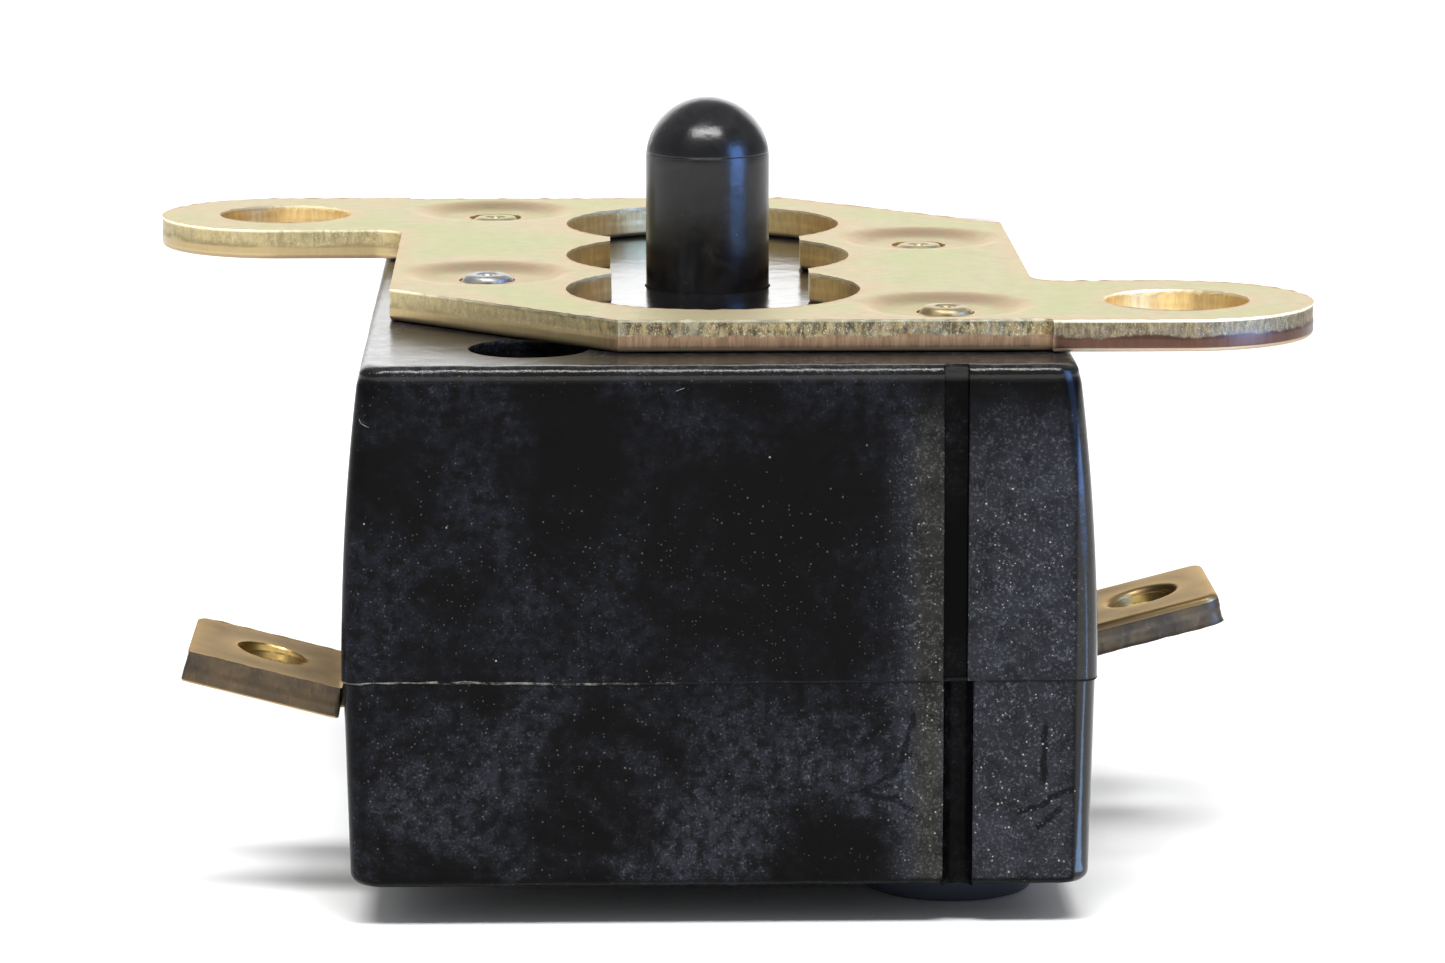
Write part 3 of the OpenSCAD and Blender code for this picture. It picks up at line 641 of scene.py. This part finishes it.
def stamped(name, loops, kinds, thick, materials, slot, replaces, relief=lambda x, y: 0,
            tint=lambda x, y, d: math.exp(-d / 0.5), burr_up=True, top=0.0, place=unbent, roll=0.20):
    """A stamped sheet on the case, with torn, rubbed and rolled edges.

    The first loop is the outline, anticlockwise; the others are holes, clockwise. Each loop's kind is cut,
    bore or thread, and the kinds pick the walls' materials.
    """
    out, inside, where, tree, normals, spans = sheet(loops)
    verts, shade = [], []

    def lay(x, y, z):
        verts.append(place(x, y, z))
        return len(verts) - 1

    def skin(upper):
        rolled = upper != burr_up
        ids = {}
        for i in sorted({i for t in inside for i in t}):
            x, y = out[i]
            d = tree.find((x, y, 0))[2]
            if rolled:
                drop = roll * (1 - math.sqrt(max(0.0, 1 - max(0.0, 1 - d / roll) ** 2)))
            else:
                drop = -BURR * max(0.0, 1 - d / BURR_REACH) * (0.6 + bumpy(x, y, 0, 1.7))
            base = -drop if upper else drop - thick
            ids[i] = lay(x, y, top + base + relief(x, y))
            shade.append(tint(x, y, d))
        return ids

    upper, lower = skin(True), skin(False)
    faces = [tuple(upper[i] for i in t) for t in inside]
    faces += [tuple(lower[i] for i in reversed(t)) for t in inside]
    indices = [0] * len(faces)
    for (first, count), kind, loop in zip(spans, kinds, loops):
        levels = 26 if kind == "thread" else 11
        columns, s = [], 0.0
        for i, (x, y) in enumerate(loop):
            nx, ny = normals[first + i]
            column = [upper[where[first + i]]]
            height = top + relief(x, y)
            z_hi = height - (0 if burr_up else roll)
            z_lo = height - thick + (roll if burr_up else 0)
            for k in range(1, levels):
                share = k / levels
                z = z_hi + (z_lo - z_hi) * share
                if kind == "thread":
                    phase = (z / THREAD_PITCH + i / count) % 1
                    inset = 0.05 - THREAD_DEPTH * (1 - abs(2 * phase - 1))
                else:
                    inset = sheared_inset(s, share if burr_up else 1 - share, kind)
                column.append(lay(x + nx * inset, y + ny * inset, z))
                shade.append(1.0)
            column.append(lower[where[first + i]])
            columns.append(column)
            s += math.dist(loop[i], loop[(i + 1) % count])
        for i in range(count):
            a, b = columns[i], columns[(i + 1) % count]
            for k in range(levels):
                faces.append((a[k], a[k + 1], b[k + 1], b[k]))
                indices.append(1 if kind == "cut" else 2)
    obj = make(name, verts, faces, materials, "case", slot, replaces, 34, indices)
    layer = obj.data.attributes.new("tint", "FLOAT", "POINT")
    layer.data.foreach_set("value", np.array(shade, np.float32))
    return obj


def within(loops, p):
    """True where the point is inside an odd number of loops."""
    odd = False
    for loop in loops:
        x1, y1 = loop[-1]
        for x2, y2 in loop:
            if (y1 > p[1]) != (y2 > p[1]) and p[0] < x1 + (p[1] - y1) / (y2 - y1) * (x2 - x1):
                odd = not odd
            x1, y1 = x2, y2
    return odd


def hole(centre, r, step=0.15):
    """A round hole's loop, clockwise."""
    return arc(centre, r, 360, 0, step)


# -------- mounting plate

def plate():
    step = 0.16
    fillet, chamfer_y = 1.5, 12.1
    front, back, root = EAR[1] - EAR_R, EAR[1] + EAR_R, PLATE_HW - 0.05
    half = (line((-CHAMFER_X, -PLATE_HD), (root, -PLATE_HD), step)
            + line((root, -PLATE_HD), (root, front), step)
            + line((root, front), (EAR[0], front), step) + arc(EAR, EAR_R, -90, 90, step)
            + line((EAR[0], back), (PLATE_HW + fillet, back), step)
            + arc((PLATE_HW + fillet, back + fillet), fillet, -90, -180, step)
            + line((PLATE_HW, back + fillet), (PLATE_HW, chamfer_y), step)
            + line((PLATE_HW, chamfer_y), (CHAMFER_X, PLATE_HD), step))
    outline = half + [(-x, -y) for x, y in half]
    slot_hw = 5.0
    reach = math.degrees(math.acos(slot_hw / LOBE_R))
    gap = math.sqrt(LOBE_R ** 2 - slot_hw ** 2)
    right = (arc((0, LOBE_PITCH), LOBE_R, 90, -reach, step)
             + line((slot_hw, LOBE_PITCH - gap), (slot_hw, gap), step)
             + arc((0, 0), LOBE_R, reach, -reach, step)
             + line((slot_hw, -gap), (slot_hw, gap - LOBE_PITCH), step)
             + arc((0, -LOBE_PITCH), LOBE_R, reach, -90, step))
    opening = right + [(-x, -y) for x, y in right]
    holes = [hole((s * EAR[0], s * EAR[1]), EAR_HOLE_R) for s in (1, -1)]
    holes += [hole(p, SCREW_R + 0.02, 0.2) for p in SCREWS]

    def to_screw(x, y):
        return min(math.dist((x, y), p) for p in SCREWS)

    def relief(x, y):
        t = min(1.0, max(0.0, (to_screw(x, y) - DIMPLE_R) / 1.4))
        return -DIMPLE_H * (1 - t * t * (3 - 2 * t)) + 0.012 * bumpy(x, y, 0, 0.12)

    def tint(x, y, d):
        ring = math.exp(-((to_screw(x, y) - DIMPLE_R - 0.8) / 0.8) ** 2)
        return min(1.0, max(math.exp(-d / 0.8), ring))

    stamped("plate", [outline, opening, *holes], ["cut"] + ["bore"] * 7, PLATE_T, [FACE, EDGE, BORE],
            "plated_steel", ["mounting_plate"], relief, tint)


plate()


# -------- case halves

# The grooves' sections, in distance from the middle and depth: square above and round below
LEFT_OF_GROOVE = [(-0.66, 0), (-0.60, 0.02), (-0.575, 0.08), (-0.575, 0.35), (-0.54, 0.6)]
UPPER_GROOVE = LEFT_OF_GROOVE + [(-dx, depth) for dx, depth in reversed(LEFT_OF_GROOVE)]
GROOVE_R = 0.72
LOWER_GROOVE = ([(-0.84, 0), (-0.77, 0.02)] + arc((0, 0.1), GROOVE_R, 180, 0, 0.26)
                + [(GROOVE_R, 0.1), (0.77, 0.02), (0.84, 0)])


def case_outline(hw, hd, groove_x, groove, step=0.45):
    """The case's outline at one height, with the groove in its front.

    Every height has the same number of points.
    """
    r = EDGE_R
    front = [(groove_x + dx, -hd + depth if depth < 0.1 else -CASE_HD + depth) for dx, depth in groove]
    long_count, side_count = round(2 * CASE_HD / step), round(2 * CASE_HW / step)
    points = run((-hw + r, -hd), front[0], round((groove_x + CASE_HW) / step)) + front[:-1]
    points += run(front[-1], (hw - r, -hd), round((CASE_HW - groove_x) / step))
    points += arc((hw - r, -hd + r), r, -90, 0, 0.16) + run((hw, -hd + r), (hw, hd - r), long_count)
    points += arc((hw - r, hd - r), r, 0, 90, 0.16) + run((hw - r, hd), (-hw + r, hd), side_count)
    points += arc((-hw + r, hd - r), r, 90, 180, 0.16) + run((-hw, hd - r), (-hw, -hd + r), long_count)
    return points + arc((-hw + r, -hd + r), r, 180, 270, 0.16)


def case_half(name, levels, groove_x, groove, replaces):
    """A moulded half lofted through its levels (height, side inset, end inset), with slight sink."""
    verts = []
    for z, side_in, end_in in levels:
        for x, y in case_outline(CASE_HW - side_in, CASE_HD - end_in, groove_x, groove):
            sink = 0.022 * bumpy(x, y, z, 0.11, 2.0) + 0.010 * bumpy(x, y, z, 0.45, 5.0)
            sink += 0.003 * bumpy(x, y, z, 2.2, 7.0)
            edge = max(0.0, 1 - min(abs(z - CASE_TOP), abs(z - CASE_BOTTOM)))
            sink += edge * 0.030 * bumpy(x, y, z, 0.9, 9.0)
            scale = 1 + sink / max(abs(x), abs(y))
            verts.append((x * scale, y * scale, z + edge * 0.030 * bumpy(x, y, 0, 0.6, 11.0)))
    faces = loft(len(levels), len(verts) // len(levels))
    return make(name, verts, faces, [BLACK], "case", "black_moulding", replaces, 32)


def rim(z, side_in, end_in, way, r):
    """Levels round a rim, from the wall to just inside the flat face, for way 1 (top) or -1 (bottom)."""
    levels = []
    for turn in range(0, 91, 15):
        a = math.radians(turn)
        inset = r * (1 - math.cos(a))
        levels.append((z - way * r * (1 - math.sin(a)), side_in + inset, end_in + inset))
    levels.append((z, side_in + r + 0.15, end_in + r + 0.15))
    return levels if way > 0 else levels[::-1]


# The chambers for the carrier's arms and hub, the locating pegs, and the screws' bores and counterbores
CHAMBERS = [((-8, -22.4), (8, -7.6)), ((-8, 7.6), (8, 22.4)), ((-6.5, -8.6), (6.5, 8.6))]
PEGS, PEG_R = [(-12.6, -13), (12.6, 13)], 1.5
SCREW_BORE_R, COUNTERBORE_R, COUNTERBORE_H = 1.6, 3.1, 3.6


def upper_half():
    lean_in = 1.0
    guide_r, dimple_room = 3.255, 4.1
    recess, recess_r, recess_h = (-9.1, -21.2), 2.9, 3.5
    height = CASE_TOP - SEAM
    count = 29
    levels = []
    for i in range(count):
        z = i / count * (height - TOP_RIM)
        lean = lean_in * (z / height) ** 2
        levels.append((SEAM + z, lean, 0.2 * lean))
    levels += rim(CASE_TOP, lean_in, 0.2 * lean_in, 1, TOP_RIM)
    half = case_half("upper_half", levels, UPPER_GROOVE_X, UPPER_GROOVE, ["upper_housing"])
    solids = [solid_box((*low, SEAM - 1), (*high, CASE_TOP - 2.4)) for low, high in CHAMBERS]
    solids.append(solid_rod((0, 0), guide_r, CASE_TOP - 3, CASE_TOP + 1, 96))
    solids.append(solid_rod(recess, recess_r, CASE_TOP - recess_h, CASE_TOP + 1, 64))
    solids += [solid_rod(p, SCREW_BORE_R, SEAM - 1, CASE_TOP + 1) for p in SCREWS]
    solids += [solid_rod(p, dimple_room, -PLATE_T - DIMPLE_H, CASE_TOP + 1, 64) for p in SCREWS]
    solids += [solid_rod(p, PEG_R + 0.05, SEAM - 1, SEAM + 2.2) for p in PEGS]
    carve(half, solids)


def lower_half():
    draft, step_in = 0.24, 0.1
    boss_r, boss_shift = 4.2, 0.3
    levels = rim(CASE_BOTTOM, step_in + draft, 0.2 * (step_in + draft), -1, LOW_RIM)
    count = 20
    for i in range(1, count + 1):
        t = i / count
        inset = step_in + draft * (1 - t)
        levels.append((CASE_BOTTOM + LOW_RIM + (SEAM - CASE_BOTTOM - LOW_RIM) * t, inset, 0.2 * inset))
    half = case_half("lower_half", levels, LOWER_GROOVE_X, LOWER_GROOVE, ["lower_housing"])
    boss = [(boss_r - 0.3, FOOT), (boss_r - 0.1, FOOT + 0.08), (boss_r, FOOT + 0.3),
            (boss_r, CASE_BOTTOM + 0.5)]
    bosses = [lathe(boss, 96, (x + math.copysign(boss_shift, x), y)) for x, y in SCREWS]
    pocket_floor, chamber_floor = CASE_BOTTOM + 2.3, STRIP_TOP - STRIP_T
    right_slot = ((6.0, -8.9, chamber_floor), (CASE_HW + 1, -5.4, SEAM + 1))
    left_slot = ((-CASE_HW - 1, -21.75, chamber_floor), (-6.0, -18.25, SEAM + 1))
    solids = [solid_box((*low, chamber_floor), (*high, SEAM + 1)) for low, high in CHAMBERS]
    solids += [solid_box(*right_slot), solid_box(*left_slot)]
    solids.append(solid_rod((0, 0), 4.6, pocket_floor, SEAM + 1, 64))
    solids += [solid_rod(p, SCREW_BORE_R, FOOT - 1, SEAM + 1) for p in SCREWS]
    solids += [solid_rod(p, COUNTERBORE_R, FOOT - 1, FOOT + COUNTERBORE_H, 64) for p in SCREWS]
    groove_end = (LOWER_GROOVE_X, 0.1 - CASE_HD)
    solids.append(solid_rod(groove_end, GROOVE_R, FOOT - 1, CASE_BOTTOM + 0.05, 32))
    carve(half, solids, bosses)
    for index, p in enumerate(PEGS):
        verts, faces = lathe([(PEG_R, SEAM - 1), (PEG_R, SEAM + 1.7), (PEG_R - 0.3, SEAM + 2)], 40, p)
        make(f"locating_peg_{index + 1}", verts, faces, [BLACK], "case", "black_moulding")
    foot, head, post_r, post_bore = pocket_floor - 0.05, pocket_floor + 3, 2, 0.8
    post = [(post_r, foot), (post_r, head - 0.1), (post_r - 0.2, head), (post_bore, head), (post_bore, foot)]
    make("spring_post", *lathe(post, 48, ring=True), [BLACK], "case", "black_moulding")


upper_half()
lower_half()


def flash():
    """Ragged flash that stands out along the seam on all four sides, broken at the groove."""
    gap = [(-0.9, 0), (-0.85, 0.3), (0.8, 0.3), (0.85, 0)]
    loop = case_outline(CASE_HW - 0.03, CASE_HD - 0.01, 11.3, gap, 0.12)
    verts, faces = [], []
    s = 0.0
    for i, ((x, y), (nx, ny)) in enumerate(zip(loop, inward(loop))):
        s += math.dist(loop[i - 1], (x, y))
        wave = 0.10 * noise.noise(Vector((s * 0.12, 1.3, 0))) + 0.035 * noise.noise(Vector((s * 1.1, 4.3, 0)))
        ragged = 1.0 if x < -11 else 0.45
        ripple = 0.07 * noise.noise(Vector((s * 0.9, 8.1, 0))) + 0.05 * noise.noise(Vector((s * 3.6, 2.2, 0)))
        out = max(0.008, 0.05 + ragged * ripple)
        tall = 0.06 + ragged * 0.05 * noise.noise(Vector((s * 1.3, 6.6, 0)))
        z = SEAM - 0.02 + wave
        for push, up in ((-0.25, -1.3), (0.0, -1.0), (out, -0.35), (out, 0.35), (0.0, 1.0), (-0.25, 1.3)):
            verts.append((x - nx * push, y - ny * push, z + tall * up))
    for i in range(len(loop)):
        j = (i + 1) % len(loop)
        for k in range(6):
            n = (k + 1) % 6
            faces.append((i * 6 + k, j * 6 + k, j * 6 + n, i * 6 + n))
    make("seam_flash", verts, faces, [seam_flash()], "case", "black_moulding", sharp=60)


flash()


# -------- plunger

def plunger():
    top, r = PLUNGER[1].z, 3.175
    dome = top - r
    flange = PLUNGER[0].z + 3
    profile = [(2.0, PLUNGER[0].z), (2.0, flange), (4.1, flange), (4.2, flange + 0.1), (4.2, flange + 1.5),
               (4.1, flange + 1.6), (r, flange + 1.6)]
    profile += [(r, flange + 1.6 + (dome - flange - 1.6) * i / 60) for i in range(1, 61)]
    parting_line = [(5.6, 0.006), (6.1, -0.010), (6.6, -0.002)]
    turns = [(a, 0) for a in range(1, 6)] + parting_line + [(a, 0) for a in range(8, 89, 2)]
    for a, proud in turns:
        profile.append((r * math.cos(math.radians(a)) + proud, dome + r * math.sin(math.radians(a))))
    profile.append((0.04, top))

    def wobble(a, radius, z):
        if z < flange + 2:
            return 0.0
        x, y = radius * math.cos(a), radius * math.sin(a)
        rough = 0.010 if z > dome else 0.004
        return min(radius, 1) * (rough * bumpy(x, y, z, 0.55, 3) + 0.0025 * bumpy(x, y, z, 2.6, 4))

    verts, faces = lathe(profile, 144, (0, 0), wobble)
    make("plunger_rod", verts, faces, [black_plunger()], "plunger", "black_plunger", ["plunger"], 40)


plunger()


# -------- terminals

def terminal(name, side, y, burr_up, near_r, far_r, shift, roll):
    """A strip with a pad, a neck through the wall and an upturned tab, drawn flat and then bent.

    near_r and far_r round the tab's free corners, and shift moves its hole along it.
    """
    half, length, neck, pad_half = 4.25, 7.6, 1.7, 2.3
    bend_x = CASE_HW + 0.04
    pad_x0, pad_x1, pad_y = 3.9, 7.7, BRIDGE_Y - y
    low, high = min(-neck, pad_y - pad_half), max(neck, pad_y + pad_half)
    end = bend_x + length
    step = 0.15
    near_side = [(pad_x0, low), (pad_x1, low), (pad_x1, -neck), (bend_x, -neck), (bend_x, 0.06 - half),
                 (bend_x + 0.08, -half), (end - near_r, -half)]
    far_side = [(end - far_r, half), (bend_x, half), (bend_x, neck), (pad_x1, neck), (pad_x1, high),
                (pad_x0, high), (pad_x0, low)]
    if high == neck:
        del far_side[3:5]
    if low == -neck:
        del near_side[1:3]
    outline = []
    for p, q in zip(near_side, near_side[1:]):
        outline += line(p, q, step)
    outline += arc((end - near_r, near_r - half), near_r, -90, 0, step)
    outline += line((end, near_r - half), (end, half - far_r), step)
    outline += arc((end - far_r, half - far_r), far_r, 0, 90, step)
    for p, q in zip(far_side, far_side[1:]):
        outline += line(p, q, step)
    angle, bend = math.radians(14.5), 1.0
    radius = bend / angle

    def place(x, v, z):
        u, w = x - bend_x, z - STRIP_TOP
        turn = angle * min(1.0, max(0.0, (u + bend / 2) / bend))
        past = max(0.0, u - bend / 2)
        px = min(x, bend_x - bend / 2) + radius * math.sin(turn) + past * math.cos(angle)
        pz = STRIP_TOP + radius * (1 - math.cos(turn)) + past * math.sin(angle)
        return (side * (px - w * math.sin(turn)), y + v, pz + w * math.cos(turn))

    loops = [outline, hole((bend_x + length / 2 + shift, 0), 1.72, 0.1)]
    node = name.replace("_strip", "_terminal")
    obj = stamped(name, loops, ["cut", "thread"], STRIP_T, [BRASS, BRASS_EDGE, BRASS_BORE], "aged_brass",
                  [node], burr_up=burr_up, top=STRIP_TOP, place=place, roll=roll)
    if side < 0:
        obj.data.flip_normals()


terminal("left_strip", -1, -20.0, True, 0.2, 1.0, -0.12, 0.09)
terminal("right_strip", 1, -7.15, False, 0.8, 0.7, 0.20, 0.30)


# -------- screws

def screws():
    """Four screws with slotted heads; the front two differ in their plating and reach a little higher."""
    tallest = cad("assembly_screws")[1].z
    head_low = cad("assembly_screws")[0].z
    seat = cad("lock_washers")[0].z
    front_metals = {0: GOLD_ZINC, 3: GREY_ZINC}
    pitch, threaded = 0.6, 6.5
    for index, centre in enumerate(SCREWS):
        metal = front_metals.get(index, FACE)
        top = tallest - (0 if index in front_metals else 0.26)

        def thread(a, r, z, start=top - threaded):
            if z < start or r < 0.9:
                return 0.0
            phase = (z / pitch + a / (2 * math.pi)) % 1
            return -0.16 * abs(2 * phase - 1) * min(1.0, (z - start) / 0.4)

        profile = [(SCREW_R, seat - 0.3), (SCREW_R, top - threaded - 0.1)]
        profile += [(SCREW_R, top - threaded + 0.06 * i) for i in range(104)]
        profile += [(SCREW_R - 0.12, top - 0.16), (SCREW_R - 0.26, top - 0.04), (SCREW_R - 0.34, top),
                    (0.55, top - 0.015), (0.50, top - 0.06), (0.28, top - 0.05), (0.24, top - 0.12),
                    (0.05, top - 0.14)]
        verts, faces = lathe(profile, 48, centre, thread)
        make(f"screw_{index + 1}", verts, faces, [metal], "case", "zinc_steel",
             ["assembly_screws"] if index == 0 else (), 40)
        head = [(1.9, head_low), (2.25, head_low + 0.05), (2.42, head_low + 0.22), (2.70, head_low + 1.45),
                (2.75, head_low + 1.60), (2.68, head_low + 1.70)]
        verts, faces = lathe(head, 72, centre)
        obj = make(f"screw_head_{index + 1}", verts, faces, [metal], "case", "zinc_steel")
        turn = math.radians(20 + 47 * index)
        c, s = math.cos(turn), math.sin(turn)
        slot_verts, slot_faces = solid_box((-4, -0.35, head_low - 1), (4, 0.35, head_low + 0.8))
        turned = [(centre[0] + c * x - s * y, centre[1] + s * x + c * y, z) for x, y, z in slot_verts]
        carve(obj, [(turned, slot_faces)])
        bevel = obj.modifiers.new("soft_edges", "BEVEL")
        bevel.width, bevel.segments, bevel.limit_method = 0.05 * MM, 2, "ANGLE"


screws()


# -------- springs

def spring(name, node, body, centre_y, coil_r, wire_r, turns):
    """A coil with closed, flattened end turns."""
    low, high = cad(node)
    z0, z1 = low.z + wire_r, high.z - wire_r
    sides, per_turn = 14, 40
    closed, rise = 0.8, 0.8 * wire_r
    rings = turns * per_turn + 1
    verts = []
    for i in range(rings):
        at = i / per_turn
        if at < closed:
            z = z0 + rise * at / closed
        elif at > turns - closed:
            z = z1 - rise * (turns - at) / closed
        else:
            z = z0 + rise + (z1 - z0 - 2 * rise) * (at - closed) / (turns - 2 * closed)
        a = 2 * math.pi * at
        for j in range(sides):
            b = 2 * math.pi * j / sides
            r = coil_r + wire_r * math.cos(b)
            verts.append((r * math.cos(a), centre_y + r * math.sin(a), z + wire_r * math.sin(b)))
    faces = [face[::-1] for face in loft(rings, sides)]
    obj = make(name, verts, faces, [SPRING], body, "spring_steel", [node], 60)
    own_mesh(obj)


spring("main_coil", "return_spring", "case", 0, 3.0, 0.4, 6)
spring("bridge_coil", "contact_spring", "bridge", BRIDGE_Y, 1.7, 0.3, 5)


# -------- CAD pieces that keep their shape

def dress(nodes, material):
    for node in nodes:
        obj = frame["nodes"][node]
        obj.data.materials.clear()
        obj.data.materials.append(material)


dress(["contact_carrier"], brown_moulding())
dress(["contact_bridge"], plain_metal("copper_alloy", (0.62, 0.33, 0.18), (0.38, 0.19, 0.10), 0.25, 0.5))
dress(["left_bridge_tip", "right_bridge_tip", "left_fixed_tip", "right_fixed_tip"],
      plain_metal("silver_contact", (0.80, 0.79, 0.76), (0.50, 0.48, 0.44), 0.18, 0.42, 2.0))
dress(["return_spring_cup", "return_spring_washer", "contact_spring_cup", "flat_washers"],
      plain_metal("zinc_sheet", (0.66, 0.65, 0.63), (0.42, 0.41, 0.39), 0.22, 0.45))
dress(["lock_washers"], plain_metal("dark_zinc", (0.48, 0.47, 0.45), (0.28, 0.27, 0.26), 0.28, 0.5))


# -------- lint

def lint():
    """Two pale fibres caught on the case's front."""
    look = Look("lint", specular=0.2)
    material = look.finish(look.mix(look.noise(3.0), (0.55, 0.54, 0.50), (0.35, 0.34, 0.32)), 0.8)
    strands = [[(-17.05, -27.1, -4.0), (-17.0, -27.2, -4.15), (-16.85, -27.2, -4.3), (-16.6, -27.12, -4.42)],
               [(-2.1, -27.1, -2.75), (-1.9, -27.2, -2.65), (-1.7, -27.12, -2.6)]]
    curve = bpy.data.curves.new("lint", "CURVE")
    curve.dimensions = "3D"
    curve.bevel_depth = 0.005 * MM
    curve.resolution_u = 8
    for strand in strands:
        spline = curve.splines.new("NURBS")
        spline.points.add(len(strand) - 1)
        for point, place in zip(spline.points, strand):
            point.co = (*[c * MM for c in place], 1)
        spline.use_endpoint_u = True
        spline.order_u = 3
    curve.materials.append(material)
    adopt(place_new("lint", curve), "case", "black_moulding")


lint()


# -------- camera, floor and light

def camera():
    cam = place_new("camera", bpy.data.cameras.new("camera"))
    cam.location = Vector((-6.63, -296.7, 41.0)) * MM
    yaw, pitch = math.radians(1.43), math.radians(10.11)
    ahead = Vector((math.sin(yaw) * math.cos(pitch), math.cos(yaw) * math.cos(pitch), -math.sin(pitch)))
    cam.rotation_euler = ahead.to_track_quat("-Z", "Y").to_euler()
    cam.data.sensor_width, cam.data.lens, cam.data.clip_start = 36, 144.2, 0.01
    SCENE.camera = cam


def floor():
    half = 6 / MM
    corners = [(-half, -half, FOOT), (half, -half, FOOT), (half, half, FOOT), (-half, half, FOOT)]
    obj = place_new("floor", mesh_of("floor", corners, [(0, 1, 2, 3)]))
    look = Look("floor", specular=0.1)
    tone = look.mix(look.noise(0.004, 2), (0.90, 0.90, 0.90), (0.92, 0.92, 0.92))
    obj.data.materials.append(look.finish(tone, 0.9))


def softbox(name, place, aim, size, power, colour=(1, 1, 1)):
    light = bpy.data.lights.new(name, "AREA")
    light.shape, light.size, light.size_y = "RECTANGLE", *size
    light.energy, light.color = power, colour
    obj = place_new(name, light)
    obj.location = place
    obj.rotation_euler = (Vector(aim) - Vector(place)).to_track_quat("-Z", "Y").to_euler()
    return obj


def world():
    SCENE.world = bpy.data.worlds.new("studio")
    SCENE.world.use_nodes = True
    background = SCENE.world.node_tree.nodes["Background"]
    background.inputs["Color"].default_value = (0.95, 0.97, 1.0, 1)
    background.inputs["Strength"].default_value = 0.42


def lights():
    """A key above the front, a broad light behind, a soft fill overhead, and two small blue lights.

    The blue lights, a window at the right front and a card near the floor, show only as reflections.
    """
    softbox("key", (-0.03, -0.39, 0.62), (0, 0, -0.01), (0.60, 0.13), 7.2)
    softbox("back", (0, 1.1, 0.35), (0, 0, 0), (1.6, 0.7), 7.0)
    softbox("overhead", (0.05, 0.02, 0.68), (0, 0, -0.01), (0.30, 0.30), 2.0).visible_glossy = False
    window = softbox("window", (0.124, -0.084, 0.025), (0, 0, 0.025), (0.07, 0.09), 0.24, (0.16, 0.38, 1.0))
    x, y, z = 0.070, -0.056, -0.0285
    card = softbox("low_card", (x, y, z), (x, y, 1), (0.110, 0.006), 0.022, (0.30, 0.55, 1.0))
    card.rotation_euler = (math.pi, 0, math.radians(-30))
    card.visible_camera = False
    for light in (window, card):
        light.visible_diffuse = False


camera()
floor()
world()
lights()
SCENE.view_settings.view_transform = "Standard"
